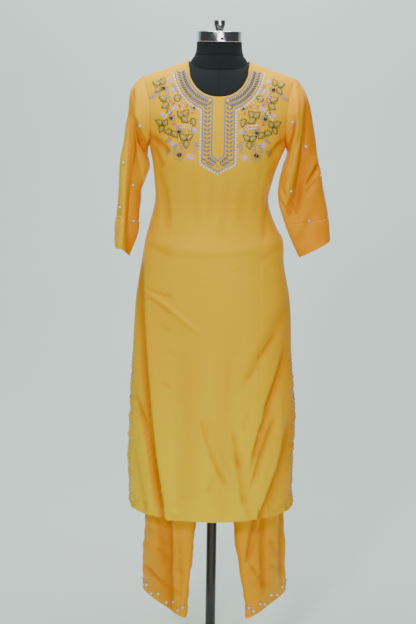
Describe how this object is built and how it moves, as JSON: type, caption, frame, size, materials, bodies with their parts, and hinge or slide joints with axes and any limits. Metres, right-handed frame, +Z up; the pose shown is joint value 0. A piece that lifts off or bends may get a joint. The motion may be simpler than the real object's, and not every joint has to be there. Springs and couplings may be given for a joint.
{
  "type": "salwar kameez suit on a limbless dress form",
  "caption": "Long straight kameez with embroidered round neck and side slits over cropped salwar trousers, worn by a limbless dress form on a pole stand with a round base.",
  "frame": {"origin": "centre of the base's underside, on the floor under the pole", "axes": "+Z up along the pole, -Y to the front of the suit, +X to the viewer's right from the front"},
  "size_m": [0.5358, 0.32, 1.6878],
  "materials": {
    "kameez_silk": "slub silk with a soft sheen",
    "salwar_silk": "slub silk with a soft sheen",
    "form_jersey": "matte stretched jersey",
    "chrome": "polished",
    "stand_paint": "satin black"
  },
  "bodies": {
    "root": {"kameez_front_centre": "kameez_silk", "kameez_front_left": "kameez_silk", "kameez_front_right": "kameez_silk", "kameez_back": "kameez_silk", "sleeve_left": "kameez_silk", "sleeve_right": "kameez_silk", "salwar_waistband": "salwar_silk", "salwar_left_front": "salwar_silk", "salwar_left_back": "salwar_silk", "salwar_right_front": "salwar_silk", "salwar_right_back": "salwar_silk", "form_torso": "form_jersey", "neck_cap": "chrome", "neck_knob": "chrome", "top_collar": "stand_paint", "stand_pole": "stand_paint", "base_socket": "stand_paint", "stand_base": "stand_paint"}
  },
  "joints": []
}
